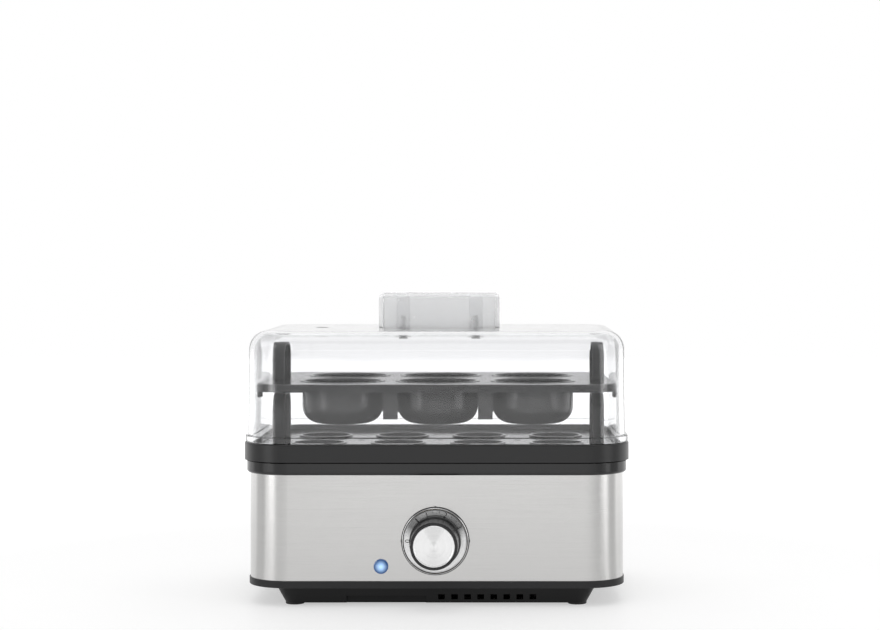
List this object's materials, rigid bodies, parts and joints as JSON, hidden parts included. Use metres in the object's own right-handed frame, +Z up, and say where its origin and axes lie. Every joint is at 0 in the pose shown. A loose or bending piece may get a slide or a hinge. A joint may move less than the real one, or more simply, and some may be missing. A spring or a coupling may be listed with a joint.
{
  "type": "countertop egg cooker",
  "caption": "Countertop egg cooker: steel-sleeved base with water pan, knob and indicator lamp, egg tray, poaching tray and clear lid that lift off in turn.",
  "frame": {"origin": "on the surface it stands on, under the middle of its bounding box", "axes": "+Z up, the front with the knob looks along -Y, +X to the right as seen from the front"},
  "size_m": [0.245, 0.1826, 0.1954],
  "materials": {
    "stainless": "brushed",
    "gloss_black": "gloss",
    "satin_black": "satin",
    "coated_pan": "non-stick coating on aluminium",
    "foot_rubber": "matt",
    "seal_silicone": "matt",
    "clear_plastic": "clear",
    "frosted_plastic": "milky, translucent",
    "bare_aluminium": "mill",
    "spun_aluminium": "spun",
    "element_sheath": "dull",
    "insulator": "unglazed",
    "zinc_steel": "zinc plated",
    "bezel_chrome": "polished",
    "dial_grey": "satin",
    "knob_black": "gloss",
    "white_plastic": "gloss",
    "blue_lens": "clear blue",
    "lamp_glass": "clear",
    "board_green": "satin",
    "switch_plastic": "matt",
    "brass": "bare",
    "lead_jacket": "woven sleeve"
  },
  "bodies": {
    "base": {"feet": "foot_rubber", "bottom_cover": "satin_black", "steel_sleeve": "stainless", "top_collar": "gloss_black", "cover_screws": "zinc_steel", "heating_pan": "coated_pan", "pan_seal": "seal_silicone", "heat_spreader": "bare_aluminium", "heating_element": "element_sheath", "element_terminals": "insulator", "dry_cutout": "insulator", "cutout_clip": "zinc_steel", "thermal_fuse": "zinc_steel", "fuse_clip": "zinc_steel", "clamp_bars": "zinc_steel", "pan_studs": "zinc_steel", "stud_nuts": "zinc_steel", "heat_shield": "bare_aluminium", "dial_bezel": "bezel_chrome", "dial_plate": "dial_grey", "rotary_switch": "switch_plastic", "switch_nut": "brass", "indicator_lens": "blue_lens", "indicator_lamp": "lamp_glass", "indicator_board": "board_green", "cord_gland": "foot_rubber", "terminal_block": "insulator", "terminal_screws": "brass", "lead_from_block": "lead_jacket", "lead_to_element": "lead_jacket", "lead_back": "lead_jacket"},
    "knob": {"knob_body": "knob_black", "knob_cap": "spun_aluminium", "knob_pointer": "white_plastic", "switch_shaft": "brass"},
    "egg_tray": {"egg_tray": "satin_black", "egg_seats": "satin_black", "egg_tray_handle_left": "satin_black", "egg_tray_handle_right": "satin_black"},
    "poaching_tray": {"poaching_tray": "gloss_black", "poaching_cups": "gloss_black", "poaching_tray_handle_left": "gloss_black", "poaching_tray_handle_right": "gloss_black"},
    "lid": {"lid_shell": "clear_plastic", "lid_handle": "frosted_plastic", "lid_washers": "frosted_plastic", "lid_screws": "white_plastic"}
  },
  "joints": [
    {"name": "knob_turn", "type": "hinge", "parent": "base", "child": "knob", "pos_m": [0, -0.06535, 0.0413], "axis": [0, 1, 0], "range_deg": [0, 150]},
    {"name": "egg_tray_lift", "type": "slide", "parent": "base", "child": "egg_tray", "axis": [0, 0, 1], "range_m": [0, 0.0464]},
    {"name": "poaching_tray_lift", "type": "slide", "parent": "egg_tray", "child": "poaching_tray", "axis": [0, 0, 1], "range_m": [0, 0.051]},
    {"name": "lid_lift", "type": "slide", "parent": "poaching_tray", "child": "lid", "axis": [0, 0, 1], "range_m": [0, 0.099]}
  ]
}
